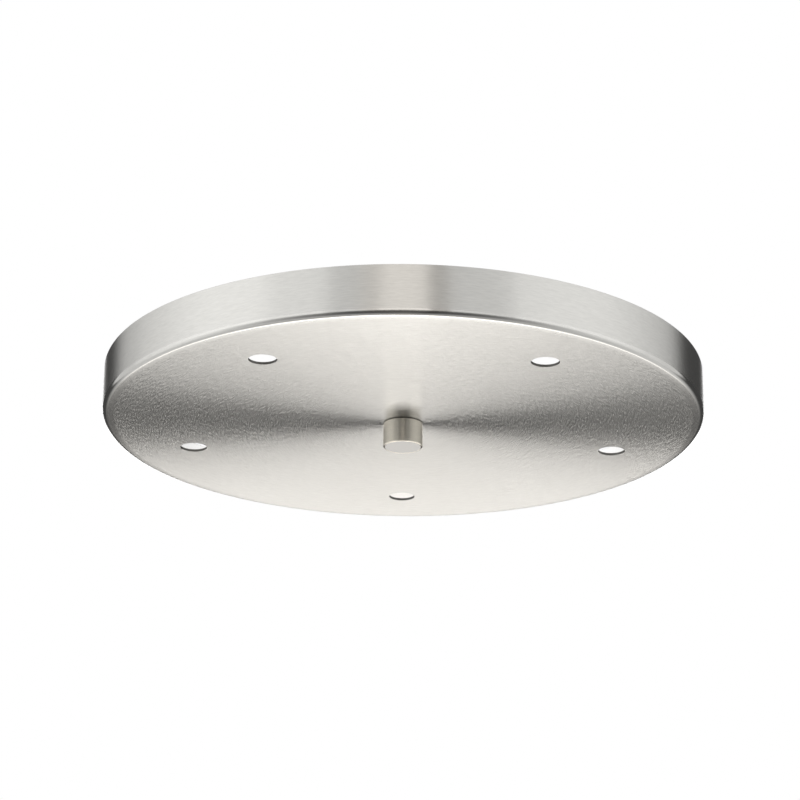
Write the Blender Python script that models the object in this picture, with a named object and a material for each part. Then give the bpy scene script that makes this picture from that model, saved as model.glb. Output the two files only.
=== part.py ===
"""Round ceiling canopy for five pendant cords, with its crossbar, hollow rod and centre knob.

Units are metres and +Z is up. The ceiling is the plane z = 0: the crossbar and the rim of the
pan lie against it from below, and the rod's axis is the Z axis.
"""
import math

import bmesh
import bpy

# Pan: one drawn sheet. The face is dished where the knob pulls its middle up.
PAN_DIAMETER = 0.3048
PAN_DEPTH = 0.0248
SHEET = 0.0015
EDGE_RADIUS = 0.0028
EDGE_EASE_WIDTH = 0.0070
EDGE_EASE_SLOPE = math.radians(3.0)
FACE_DISH = 0.0018

# Ports: round holes for the cords, evenly spaced on a circle inside the rim.
PORT_COUNT = 5
PORT_DIAMETER = 0.0138
PORT_INSET = 0.0378
PORT_FIRST_ANGLE = math.radians(18.0)

# Hollow rod: lamp pipe, nominal one eighth of an inch.
ROD_DIAMETER = 0.0099
ROD_BORE_DIAMETER = 0.0066
ROD_ABOVE_NUT = 0.0026
ROD_END_CHAMFER = 0.0005
THREAD_PITCH = 0.0254 / 27

# Knob: a turned cap nut, counterbored on top for its washer.
KNOB_DIAMETER = 0.0200
KNOB_HEIGHT = 0.0125
KNOB_CHAMFER = 0.00045
KNOB_LIP = 0.0014
KNOB_ENGAGED_TURNS = 9
KNOB_BORE_RUNOUT = 0.0006
WASHER_THICKNESS = 0.0008

# Crossbar: a punched strap with a slot at each end for the outlet box.
STRAP_WIDTH = 0.0190
STRAP_THICKNESS = 0.0020
STRAP_CORNER_RADIUS = 0.0050
STRAP_END_MARGIN = 0.0055
SMALL_BOX_SPACING = 0.06985
LARGE_BOX_SPACING = 0.0889
EARTH_HOLE_OFFSET = 0.0205

# Nuts and toothed washer on the rod.
NUT_ACROSS_FLATS = 0.0143
NUT_THICKNESS = 0.0032
NUT_CORNER_ANGLE = math.radians(30.0)
TOOTHED_WASHER_DIAMETER = 0.0152
TOOTHED_WASHER_THICKNESS = 0.0006
TOOTH_COUNT = 10
TOOTH_DEPTH = 0.0009

# Outlet box screws.
BOX_SCREW_DIAMETER = 0.0041
BOX_SCREW_HEAD_DIAMETER = 0.0080
BOX_SCREW_HEAD_HEIGHT = 0.0027
BOX_SCREW_LENGTH = 0.0190
SCREW_TIP_CHAMFER = 0.0005
DRIVER_SLOT_WIDTH = 0.0011
DRIVER_SLOT_DEPTH = 0.0012

# Earth screw and its cupped washer.
EARTH_SCREW_DIAMETER = 0.0048
EARTH_SCREW_LENGTH = 0.0095
EARTH_HEAD_ACROSS_FLATS = 0.0079
EARTH_HEAD_HEIGHT = 0.0028
CUP_WASHER_DIAMETER = 0.0108
CUP_WASHER_SHEET = 0.0006
CUP_WASHER_HEIGHT = 0.0014

# Running and seating clearance between pieces that touch on the real object.
SEAT_GAP = 0.0003
# How far a cutting tool reaches past the surface it opens.
TOOL_OVERRUN = 0.0010
# Points closer than this are one point.
WELD_DISTANCE = 1e-7

# Facets round each kind of turned piece.
PAN_FACETS = 96
KNOB_FACETS = 64
ROD_FACETS = 48
PORT_FACETS = 32
SCREW_FACETS = 24
FACE_RINGS = 7
ARC_STEPS = 5

# Colours in linear light, with roughness and metallic value.
BRUSHED_NICKEL = ("brushed_nickel", (0.62, 0.60, 0.55), 0.32, 1.0)
ZINC_PLATE = ("zinc_plate", (0.55, 0.56, 0.56), 0.38, 1.0)
EARTH_GREEN = ("earth_green", (0.05, 0.30, 0.10), 0.40, 0.6)
GREY_FIBRE = ("grey_fibre", (0.16, 0.15, 0.14), 0.80, 0.0)

# Sizes and levels that follow from the ones above.
pan_radius = PAN_DIAMETER / 2
rod_radius = ROD_DIAMETER / 2
rod_clear_radius = rod_radius + SEAT_GAP
knob_radius = KNOB_DIAMETER / 2
port_circle_radius = pan_radius - PORT_INSET

edge_centre_radius = pan_radius - EDGE_RADIUS
edge_start_radius = edge_centre_radius + EDGE_RADIUS * math.sin(EDGE_EASE_SLOPE)
face_flat_radius = edge_start_radius - EDGE_EASE_WIDTH
edge_ease_rise = EDGE_EASE_WIDTH * math.tan(EDGE_EASE_SLOPE) / 2
edge_centre_level = -PAN_DEPTH + edge_ease_rise + EDGE_RADIUS * math.cos(EDGE_EASE_SLOPE)

strap_bottom = -STRAP_THICKNESS
upper_nut_bottom = SEAT_GAP
rod_top = upper_nut_bottom + NUT_THICKNESS + ROD_ABOVE_NUT
toothed_washer_top = strap_bottom - SEAT_GAP
lower_nut_top = toothed_washer_top - TOOTHED_WASHER_THICKNESS - SEAT_GAP

knob_seat = -PAN_DEPTH + FACE_DISH
washer_top = knob_seat - SEAT_GAP
knob_top = knob_seat - SEAT_GAP
counterbore_floor = washer_top - WASHER_THICKNESS - SEAT_GAP
counterbore_radius = knob_radius - KNOB_LIP
washer_radius = counterbore_radius - SEAT_GAP
rod_bottom = knob_top - KNOB_ENGAGED_TURNS * THREAD_PITCH
knob_bore_floor = rod_bottom - KNOB_BORE_RUNOUT

box_screw_offset = LARGE_BOX_SPACING / 2
slot_inner_offset = SMALL_BOX_SPACING / 2
slot_radius = BOX_SCREW_DIAMETER / 2 + SEAT_GAP
strap_half_length = box_screw_offset + slot_radius + STRAP_END_MARGIN
earth_hole_radius = EARTH_SCREW_DIAMETER / 2 + SEAT_GAP
cup_washer_top = strap_bottom - SEAT_GAP


def clear_scene():
    """Remove every object that the file opened with."""
    for obj in list(bpy.data.objects):
        bpy.data.objects.remove(obj, do_unlink=True)


def make_material(finish):
    """Return the material of a finish, made once."""
    name, colour, roughness, metallic = finish
    material = bpy.data.materials.get(name)
    if material is None:
        material = bpy.data.materials.new(name)
        material.use_nodes = True
        shader = material.node_tree.nodes["Principled BSDF"]
        shader.inputs["Base Color"].default_value = (*colour, 1.0)
        shader.inputs["Roughness"].default_value = roughness
        shader.inputs["Metallic"].default_value = metallic
        material.diffuse_color = (*colour, 1.0)
    return material


def finish_mesh(bm, name):
    """Weld a modelled form, turn its faces outwards and give it smooth round sides."""
    bmesh.ops.remove_doubles(bm, verts=bm.verts, dist=WELD_DISTANCE)
    bmesh.ops.recalc_face_normals(bm, faces=bm.faces)
    mesh = bpy.data.meshes.new(name)
    bm.to_mesh(mesh)
    bm.free()
    mesh.shade_smooth()
    mesh.set_sharp_from_angle(angle=math.radians(32.0))
    return mesh


def add_object(name, mesh, finish=None, location=(0.0, 0.0, 0.0), parent=None):
    """Put a mesh, or an empty when there is none, into the scene."""
    obj = bpy.data.objects.new(name, mesh)
    bpy.context.scene.collection.objects.link(obj)
    obj.location = location
    obj.parent = parent
    if finish is not None:
        mesh.materials.append(make_material(finish))
    return obj


def add_cutter(name, mesh, location=(0.0, 0.0, 0.0)):
    """Put a cutting tool into the scene, out of the finished model."""
    cutter = add_object(name, mesh, location=location)
    cutter.hide_render = True
    cutter.display_type = "WIRE"
    return cutter


def cut(obj, tool, operation="DIFFERENCE"):
    """Cut an object with a tool and keep the cut as a modifier."""
    modifier = obj.modifiers.new(tool.name, "BOOLEAN")
    modifier.operation = operation
    modifier.solver = "EXACT"
    modifier.object = tool


def turned(name, section, facets, closed=True):
    """Spin a half section of (radius, height) points once round Z.

    A closed section is a ring round the axis. An open one starts and ends on the axis.
    """
    bm = bmesh.new()
    points = [bm.verts.new((radius, 0.0, height)) for radius, height in section]
    followers = points[1:] + points[:1] if closed else points[1:]
    edges = [bm.edges.new(pair) for pair in zip(points, followers)]
    bmesh.ops.spin(
        bm,
        geom=points + edges,
        cent=(0.0, 0.0, 0.0),
        axis=(0.0, 0.0, 1.0),
        angle=math.tau,
        steps=facets,
        use_merge=True,
    )
    return finish_mesh(bm, name)


def extruded(name, outline, bottom, top):
    """Raise a flat outline of (x, y) points from one level to another."""
    bm = bmesh.new()
    face = bm.faces.new([bm.verts.new((x, y, bottom)) for x, y in outline])
    raised = bmesh.ops.extrude_face_region(bm, geom=[face])["geom"]
    raised_points = [item for item in raised if isinstance(item, bmesh.types.BMVert)]
    bmesh.ops.translate(bm, verts=raised_points, vec=(0.0, 0.0, top - bottom))
    return finish_mesh(bm, name)


def arc(centre, radius, start, end, steps):
    """Points of a circular arc, both ends included."""
    angles = [start + (end - start) * step / steps for step in range(steps + 1)]
    return [(centre[0] + radius * math.cos(a), centre[1] + radius * math.sin(a)) for a in angles]


def cylinder_tool(name, radius, bottom, top, facets, location=(0.0, 0.0, 0.0)):
    """A round cutting tool along Z."""
    section = [(0.0, bottom), (radius, bottom), (radius, top), (0.0, top)]
    return add_cutter(name, turned(name, section, facets, closed=False), location)


def box_outline(half_length, half_width):
    """A rectangle about the origin."""
    return [
        (half_length, half_width),
        (-half_length, half_width),
        (-half_length, -half_width),
        (half_length, -half_width),
    ]


def rounded_outline(half_length, half_width, radius, steps):
    """A rectangle with round corners, walked anticlockwise from its +X side."""
    reach = half_length - radius
    side = half_width - radius
    outline = arc((reach, side), radius, 0.0, math.pi / 2, steps)
    outline += arc((-reach, side), radius, math.pi / 2, math.pi, steps)
    outline += arc((-reach, -side), radius, math.pi, 3 * math.pi / 2, steps)
    outline += arc((reach, -side), radius, 3 * math.pi / 2, math.tau, steps)
    return outline


def hexagon(across_flats):
    """A hexagon with flats towards +Y and -Y."""
    corner_radius = across_flats / math.sqrt(3.0)
    angles = [math.tau * corner / 6 for corner in range(6)]
    return [(corner_radius * math.cos(a), corner_radius * math.sin(a)) for a in angles]


def dish_height(radius):
    """Rise of the face at a radius: a round plate held at its edge and pulled up in its middle."""
    share = radius / face_flat_radius
    return FACE_DISH * (1.0 - share**2 + 2.0 * share**2 * math.log(share))


def ease_height(radius):
    """Rise of the outermost face, a parabola from flat to the slope at which the edge bends."""
    share = (radius - face_flat_radius) / EDGE_EASE_WIDTH
    return edge_ease_rise * share**2


def face_points(outer_radius, inner_radius, lift):
    """Points of one side of the face, from the edge bend in to the centre hole."""
    ease_radii = [outer_radius, (outer_radius + face_flat_radius) / 2]
    step = (face_flat_radius - inner_radius) / FACE_RINGS
    ring_radii = [face_flat_radius - step * ring for ring in range(FACE_RINGS + 1)]
    points = [(radius, -PAN_DEPTH + lift + ease_height(radius)) for radius in ease_radii]
    points += [(radius, -PAN_DEPTH + lift + dish_height(radius)) for radius in ring_radii]
    return points


def pan_section():
    """Half section of the pan: down the outside, in along the face, and back inside the sheet."""
    bend_centre = (edge_centre_radius, edge_centre_level)
    bend_end = -math.pi / 2 + EDGE_EASE_SLOPE
    inner_bend = EDGE_RADIUS - SHEET
    outside = [(pan_radius, 0.0)]
    outside += arc(bend_centre, EDGE_RADIUS, 0.0, bend_end, ARC_STEPS)[:-1]
    outside += face_points(edge_start_radius, rod_clear_radius, 0.0)
    inside_start = edge_centre_radius + inner_bend * math.sin(EDGE_EASE_SLOPE)
    inside = face_points(inside_start, rod_clear_radius, SHEET)[::-1][:-1]
    inside += arc(bend_centre, inner_bend, bend_end, 0.0, ARC_STEPS)
    inside += [(pan_radius - SHEET, 0.0)]
    return outside + inside


def make_pan(parent):
    """The sheet pan with its ring of cord ports."""
    sheet = turned("canopy_pan", pan_section(), PAN_FACETS)
    pan = add_object("canopy_pan", sheet, BRUSHED_NICKEL, parent=parent)
    bottom = -PAN_DEPTH - TOOL_OVERRUN
    top = -PAN_DEPTH + FACE_DISH + SHEET + TOOL_OVERRUN
    for port in range(PORT_COUNT):
        angle = PORT_FIRST_ANGLE + math.tau * port / PORT_COUNT
        centre = (port_circle_radius * math.cos(angle), port_circle_radius * math.sin(angle), 0.0)
        punch = cylinder_tool(f"port_punch_{port + 1}", PORT_DIAMETER / 2, bottom, top, PORT_FACETS, centre)
        cut(pan, punch)


def make_knob(parent):
    """The turned knob: plain sides, broken edges, a counterbore and a blind bore."""
    knob_bottom = knob_top - KNOB_HEIGHT
    section = [
        (0.0, knob_bore_floor - rod_clear_radius / 4),
        (rod_clear_radius, knob_bore_floor),
        (rod_clear_radius, counterbore_floor),
        (counterbore_radius, counterbore_floor),
        (counterbore_radius, knob_top),
        (knob_radius - KNOB_CHAMFER, knob_top),
        (knob_radius, knob_top - KNOB_CHAMFER),
        (knob_radius, knob_bottom + KNOB_CHAMFER),
        (knob_radius - KNOB_CHAMFER, knob_bottom),
        (0.0, knob_bottom),
    ]
    mesh = turned("canopy_knob", section, KNOB_FACETS, closed=False)
    add_object("canopy_knob", mesh, BRUSHED_NICKEL, parent=parent)


def ring_section(inner_radius, outer_radius, bottom, top):
    """A plain rectangular half section."""
    return [(inner_radius, bottom), (outer_radius, bottom), (outer_radius, top), (inner_radius, top)]


def make_knob_washer(parent):
    """The thin washer that sits in the knob's counterbore."""
    section = ring_section(rod_clear_radius, washer_radius, washer_top - WASHER_THICKNESS, washer_top)
    add_object("knob_washer", turned("knob_washer", section, ROD_FACETS), GREY_FIBRE, parent=parent)


def make_rod():
    """The hollow rod, with both its ends broken outside."""
    bore = ROD_BORE_DIAMETER / 2
    end_radius = rod_radius - ROD_END_CHAMFER
    section = [
        (bore, rod_bottom),
        (end_radius, rod_bottom),
        (rod_radius, rod_bottom + ROD_END_CHAMFER),
        (rod_radius, rod_top - ROD_END_CHAMFER),
        (end_radius, rod_top),
        (bore, rod_top),
    ]
    add_object("threaded_nipple", turned("threaded_nipple", section, ROD_FACETS), ZINC_PLATE)


def hex_blank(name, across_flats, bottom, top):
    """A hexagonal block whose corners are turned down at both ends."""
    corner_radius = across_flats / math.sqrt(3.0)
    flat_radius = across_flats / 2
    drop = (corner_radius - flat_radius) * math.tan(NUT_CORNER_ANGLE)
    section = [
        (0.0, bottom),
        (flat_radius, bottom),
        (corner_radius, bottom + drop),
        (corner_radius, top - drop),
        (flat_radius, top),
        (0.0, top),
    ]
    blank = extruded(name, hexagon(across_flats), bottom, top)
    envelope = add_cutter(f"{name}_envelope", turned(f"{name}_envelope", section, ROD_FACETS, closed=False))
    return blank, envelope


def make_nut(name, bottom):
    """A thin hexagon nut on the rod."""
    blank, envelope = hex_blank(name, NUT_ACROSS_FLATS, bottom, bottom + NUT_THICKNESS)
    nut = add_object(name, blank, ZINC_PLATE)
    cut(nut, envelope, "INTERSECT")
    top = bottom + NUT_THICKNESS + TOOL_OVERRUN
    cut(nut, cylinder_tool(f"{name}_drill", rod_clear_radius, bottom - TOOL_OVERRUN, top, ROD_FACETS))


def tooth_radius(step, steps_per_tooth):
    """Inner edge of the toothed washer: two points at a tooth's tip, two at the root beside it."""
    if step % steps_per_tooth < steps_per_tooth / 2:
        return rod_clear_radius
    return rod_clear_radius + TOOTH_DEPTH


def make_toothed_washer():
    """The lock washer: a flat ring with teeth towards the rod."""
    steps_per_tooth = 4
    steps = TOOTH_COUNT * steps_per_tooth
    levels = (toothed_washer_top - TOOTHED_WASHER_THICKNESS, toothed_washer_top)
    bm = bmesh.new()
    loops = []
    for level in levels:
        for outer in (True, False):
            loop = []
            for step in range(steps):
                angle = math.tau * step / steps
                radius = TOOTHED_WASHER_DIAMETER / 2 if outer else tooth_radius(step, steps_per_tooth)
                loop.append(bm.verts.new((radius * math.cos(angle), radius * math.sin(angle), level)))
            loops.append(loop)
    low_outer, low_inner, high_outer, high_inner = loops
    for first, second in (
        (low_outer, low_inner),
        (high_inner, high_outer),
        (high_outer, low_outer),
        (low_inner, high_inner),
    ):
        for step in range(steps):
            after = (step + 1) % steps
            bm.faces.new((first[step], first[after], second[after], second[step]))
    add_object("lock_washer", finish_mesh(bm, "lock_washer"), ZINC_PLATE)


def slot_tool(name, side):
    """The punch of one end slot, which takes both usual spacings of box screws."""
    outline = arc((box_screw_offset, 0.0), slot_radius, -math.pi / 2, math.pi / 2, 2 * ARC_STEPS)
    outline += arc((slot_inner_offset, 0.0), slot_radius, math.pi / 2, 3 * math.pi / 2, 2 * ARC_STEPS)
    if side < 0:
        outline = [(-x, y) for x, y in reversed(outline)]
    return add_cutter(name, extruded(name, outline, strap_bottom - TOOL_OVERRUN, TOOL_OVERRUN))


def make_crossbar():
    """The strap, its rod hole, its end slots and the two tapped holes between them."""
    outline = rounded_outline(strap_half_length, STRAP_WIDTH / 2, STRAP_CORNER_RADIUS, ARC_STEPS)
    blank = extruded("mounting_crossbar", outline, strap_bottom, 0.0)
    strap = add_object("mounting_crossbar", blank, ZINC_PLATE)
    bottom = strap_bottom - TOOL_OVERRUN
    cut(strap, cylinder_tool("rod_hole_punch", rod_clear_radius, bottom, TOOL_OVERRUN, ROD_FACETS))
    cut(strap, slot_tool("left_slot_punch", -1))
    cut(strap, slot_tool("right_slot_punch", 1))
    for name, x in (("earth_hole_drill", -EARTH_HOLE_OFFSET), ("spare_hole_drill", EARTH_HOLE_OFFSET)):
        drill = cylinder_tool(name, earth_hole_radius, bottom, TOOL_OVERRUN, SCREW_FACETS, (x, 0.0, 0.0))
        cut(strap, drill)


def driver_slot(name, length, head_bottom, centre):
    """The saw that cuts a screwdriver slot into the underside of a head."""
    outline = box_outline(length, DRIVER_SLOT_WIDTH / 2)
    saw = extruded(name, outline, head_bottom - TOOL_OVERRUN, head_bottom + DRIVER_SLOT_DEPTH)
    return add_cutter(name, saw, centre)


def make_box_screw(name, x):
    """A round-head machine screw that points up into the outlet box."""
    seat = strap_bottom - SEAT_GAP
    shank = BOX_SCREW_DIAMETER / 2
    head = BOX_SCREW_HEAD_DIAMETER / 2
    rise = BOX_SCREW_HEAD_HEIGHT
    dome_radius = (head**2 + rise**2) / (2 * rise)
    dome_angle = math.asin(head / dome_radius)
    dome_centre = (0.0, seat - rise + dome_radius)
    tip = seat + BOX_SCREW_LENGTH
    section = arc(dome_centre, dome_radius, -math.pi / 2, -math.pi / 2 + dome_angle, ARC_STEPS)
    section[0] = (0.0, seat - rise)
    section += [(shank, seat), (shank, tip - SCREW_TIP_CHAMFER)]
    section += [(shank - SCREW_TIP_CHAMFER, tip), (0.0, tip)]
    screw = add_object(name, turned(name, section, SCREW_FACETS, closed=False), ZINC_PLATE, (x, 0.0, 0.0))
    cut(screw, driver_slot(f"{name}_saw", head, seat - rise, (x, 0.0, 0.0)))


def make_earth_screw():
    """The green hex-head earth screw in the crossbar's tapped hole."""
    centre = (-EARTH_HOLE_OFFSET, 0.0, 0.0)
    head_top = cup_washer_top - CUP_WASHER_HEIGHT - SEAT_GAP
    head_bottom = head_top - EARTH_HEAD_HEIGHT
    shank = EARTH_SCREW_DIAMETER / 2
    tip = head_top + EARTH_SCREW_LENGTH
    blank, envelope = hex_blank("ground_screw", EARTH_HEAD_ACROSS_FLATS, head_bottom, head_top)
    screw = add_object("ground_screw", blank, EARTH_GREEN, centre)
    envelope.location = centre
    cut(screw, envelope, "INTERSECT")
    section = [
        (0.0, head_bottom + EARTH_HEAD_HEIGHT / 2),
        (shank, head_bottom + EARTH_HEAD_HEIGHT / 2),
        (shank, tip - SCREW_TIP_CHAMFER),
        (shank - SCREW_TIP_CHAMFER, tip),
        (0.0, tip),
    ]
    stem = turned("ground_screw_stem", section, SCREW_FACETS, closed=False)
    cut(screw, add_cutter("ground_screw_stem", stem, centre), "UNION")
    cut(screw, driver_slot("ground_screw_saw", EARTH_HEAD_ACROSS_FLATS, head_bottom, centre))


def make_cup_washer():
    """The cupped washer that holds the earth wire under the screw's head."""
    bore = earth_hole_radius
    rim = CUP_WASHER_DIAMETER / 2
    flat = (bore + rim) / 2
    floor = cup_washer_top - CUP_WASHER_HEIGHT
    section = [
        (bore, floor),
        (flat, floor),
        (rim, cup_washer_top - CUP_WASHER_SHEET),
        (rim, cup_washer_top),
        (flat, floor + CUP_WASHER_SHEET),
        (bore, floor + CUP_WASHER_SHEET),
    ]
    mesh = turned("ground_cup_washer", section, SCREW_FACETS)
    add_object("ground_cup_washer", mesh, ZINC_PLATE, (-EARTH_HOLE_OFFSET, 0.0, 0.0))


def main():
    """Build the whole canopy, from the ceiling down."""
    clear_scene()
    make_crossbar()
    make_rod()
    make_nut("upper_locknut", upper_nut_bottom)
    make_toothed_washer()
    make_nut("lower_locknut", lower_nut_top - NUT_THICKNESS)
    make_box_screw("box_screw_left", -box_screw_offset)
    make_box_screw("box_screw_right", box_screw_offset)
    make_cup_washer()
    make_earth_screw()
    canopy_slide = add_object("canopy_slide", None)
    knob_axis = add_object("knob_axis", None, parent=canopy_slide)
    make_pan(canopy_slide)
    make_knob_washer(canopy_slide)
    make_knob(knob_axis)
    bpy.context.view_layer.update()


main()
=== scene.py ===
"""Looks of a round ceiling canopy for five pendant cords, seen from below in a plain studio.

The file is laid out as an add-on. Each piece is a surface worked out with numpy in the packed
model's own frame: metres, +Z up, the ceiling at z = 0 and the hollow rod on the Z axis.
"""

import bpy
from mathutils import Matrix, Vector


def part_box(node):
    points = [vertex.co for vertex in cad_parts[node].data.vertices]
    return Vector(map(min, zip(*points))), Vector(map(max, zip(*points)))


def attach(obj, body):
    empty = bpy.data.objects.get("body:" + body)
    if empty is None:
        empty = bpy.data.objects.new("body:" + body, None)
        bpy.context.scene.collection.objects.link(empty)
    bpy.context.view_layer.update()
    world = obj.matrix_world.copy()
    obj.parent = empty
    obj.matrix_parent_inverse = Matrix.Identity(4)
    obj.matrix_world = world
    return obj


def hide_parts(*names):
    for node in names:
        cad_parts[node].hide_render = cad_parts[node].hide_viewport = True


bl_info = {
    "name": "Five-port ceiling canopy",
    "version": (1, 0, 0),
    "blender": (4, 5, 0),
    "location": "View3D > Sidebar > Canopy",
    "description": "Brushed sheet pan, turned knob and hanging hardware of a round ceiling canopy",
    "category": "Add Mesh",
}

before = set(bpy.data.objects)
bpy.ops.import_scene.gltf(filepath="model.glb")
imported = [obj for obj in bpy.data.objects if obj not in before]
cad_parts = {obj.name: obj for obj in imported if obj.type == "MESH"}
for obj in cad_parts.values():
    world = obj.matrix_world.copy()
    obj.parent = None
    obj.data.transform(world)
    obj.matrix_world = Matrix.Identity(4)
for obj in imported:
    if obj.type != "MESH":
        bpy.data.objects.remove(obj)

import math

import bmesh
import bpy
import numpy as np
from bpy.props import FloatProperty, FloatVectorProperty, IntProperty, PointerProperty
from mathutils import Matrix, Vector

MM = 0.001
WELD_DISTANCE = 1e-6
CREASE_ANGLE = math.radians(28.0)
SEAT_GAP = 0.3 * MM

# Form of the small hardware: how far a nut's corners are turned off, the slope of the cone on hexagon
# heads and nuts, how far a thread's wave goes past crest and root, how steep the washer's teeth are,
# and where their ring starts, in teeth's depths from the teeth's tips. The crossbar's edges are rounded
# where they turn by more than STRAP_EDGE_ANGLE, and its columns are told apart to MICRON_PLACES places.
NUT_CORNER_TURNING = 0.12 * MM
HEAD_CONE = math.tan(math.radians(30.0))
THREAD_OVERSHOOT = 0.15
TOOTH_STEEPNESS = 1.7
TOOTH_ROOT = 1.4
STRAP_EDGE_ANGLE = math.radians(60.0)
MICRON_PLACES = 6

# Material numbers of the pan's outside, inside and punched edges, and of the knob's flat face.
OUTSIDE, INSIDE, PUNCHED = 0, 1, 2
KNOB_FACE = 1

# Steps, points, columns and rows that the surfaces are made of. THREAD_ROWS are rows for each pitch,
# TOOTH_COLUMNS are columns for each tooth, and WINDOW_CROWDING draws the rings of a port's window in
# towards the port.
ROUNDING_STEPS = 4
INNER_RINGS, BAND_STEPS, OUTER_RINGS = 24, 14, 4
WINDOW_COLUMNS, WINDOW_STEPS, WINDOW_CROWDING = 14, 7, 1.4
EASE_STEPS, BEND_STEPS, INNER_BEND_STEPS = 6, 14, 10
WALL_STEPS, RIM_STEPS, LIP_STEPS, BURR_STEPS = 5, 5, 5, 3
KNOB_COLUMNS, FACE_POINTS, WASHER_COLUMNS, CUP_COLUMNS = 128, 10, 96, 64
ROD_COLUMNS, NUT_COLUMNS, TOOTH_COLUMNS = 60, 180, 24
THREAD_ROWS, SCREW_THREAD_ROWS = 10, 8
QUARTER_STEPS, SLOT_STEPS, STRAP_STEPS, HALF_STRAP_STEPS, STRAP_EDGE_STEPS = 8, 4, 40, 5, 3
HEAD_SIDE_POINTS, HEAD_SLOT_POINTS, HEAD_STEPS = 12, 5, 20
FLOOR_RINGS, FLOOR_COLUMNS = 4, 64

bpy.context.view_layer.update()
pan_low, pan_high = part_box("canopy_pan")
knob_low, knob_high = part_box("canopy_knob")
fibre_low, fibre_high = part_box("knob_washer")
rod_low, rod_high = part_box("threaded_nipple")
strap_low, strap_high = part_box("mounting_crossbar")
toothed_low, toothed_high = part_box("lock_washer")
cup_low, cup_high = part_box("ground_cup_washer")
earth_low, earth_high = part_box("ground_screw")


def length(name, description, default):
    """A length property in metres."""
    return FloatProperty(
        name=name, description=description, default=default, min=0.0, unit="LENGTH", precision=5
    )


def angle(name, description, degrees):
    """An angle property, given in degrees."""
    return FloatProperty(name=name, description=description, default=math.radians(degrees), subtype="ANGLE")


def share(name, description, default, highest=1.0):
    """A plain number from zero up."""
    return FloatProperty(name=name, description=description, default=default, min=0.0, max=highest)


def colour(name, description, default):
    """A colour in linear light."""
    return FloatVectorProperty(
        name=name, description=description, default=default, size=3, subtype="COLOR", min=0.0, max=1.0
    )


class PanSizes(bpy.types.PropertyGroup):
    """Sizes of the drawn sheet pan."""

    radius: length("Outer radius", "From the axis to the outside of the wall", pan_high.x)
    depth: length("Depth", "From the ceiling down to the lowest ring of the face", -pan_low.z)
    sheet: length("Sheet", "Thickness of the sheet", 1.5 * MM)
    bend_radius: length("Bend radius", "Outside radius of the bend between wall and face", 2.8 * MM)
    ease_width: length("Ease width", "Ring beside the bend where the face starts to curve", 3.2 * MM)
    ease_slope: angle("Ease slope", "Slope of the face where the bend starts", 6.5)
    dish: length("Dish", "How far the knob pulls the middle of the face up", 1.8 * MM)
    hole_radius: length("Centre hole", "Radius of the hole for the rod", 5.25 * MM)
    port_count: IntProperty(name="Ports", description="Cord ports round the face", default=5, min=1, max=9)
    port_radius: length("Port radius", "Radius of a cord port", 6.9 * MM)
    port_inset: length("Port inset", "From the outside of the wall to a port's middle", 37.8 * MM)
    port_first: angle("First port", "Where the first port lies, from +X", 18.0)
    rim_rounding: length("Rim rounding", "Rounding of the rim's two corners", 0.25 * MM)
    punch_rounding: length("Punched edge", "Rounding that the punch leaves on the outer face", 0.15 * MM)
    burr_rounding: length("Inner punched edge", "Rounding of a hole's edge inside the pan", 0.12 * MM)
    columns: IntProperty(name="Columns", description="Points round the pan", default=360, min=60, max=720)


class KnobSizes(bpy.types.PropertyGroup):
    """Sizes of the turned knob and its washer."""

    radius: length("Radius", "Radius of the knob's side", knob_high.x)
    edge_width: length("Broken edge", "Width of the broken edges", 0.45 * MM)
    edge_rise: length("Broken edge's height", "Height of the broken edges", 0.22 * MM)
    edge_rounding: length("Edge rounding", "Rounding of the broken edges' corners", 0.22 * MM)
    seat_radius: length("Counterbore", "Radius of the seat for the washer", fibre_high.x + SEAT_GAP)
    seat_depth: length("Counterbore depth", "Depth of the seat for the washer", 1.1 * MM)
    bore_depth: length("Bore depth", "From the top of the knob to the end of the thread", 9.067 * MM)
    point_depth: length("Drill point", "Depth of the cone that the drill leaves", 1.31 * MM)
    washer_rounding: length("Washer rounding", "Rounding of the fibre washer's corners", 0.12 * MM)


class ThreadSizes(bpy.types.PropertyGroup):
    """Sizes of the threads."""

    rod_pitch: length("Rod pitch", "Pitch of the hollow rod's thread", 25.4 / 27 * MM)
    rod_depth: length("Rod thread depth", "From crest to root of the hollow rod's thread", 0.55 * MM)
    running_gap: length("Running gap", "Radial gap between a thread and the thread in it", 0.3 * MM)
    screw_pitch: length("Screw pitch", "Pitch of the small screws' threads", 25.4 / 32 * MM)
    screw_depth: length("Screw thread depth", "From crest to root of a small screw's thread", 0.42 * MM)


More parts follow.
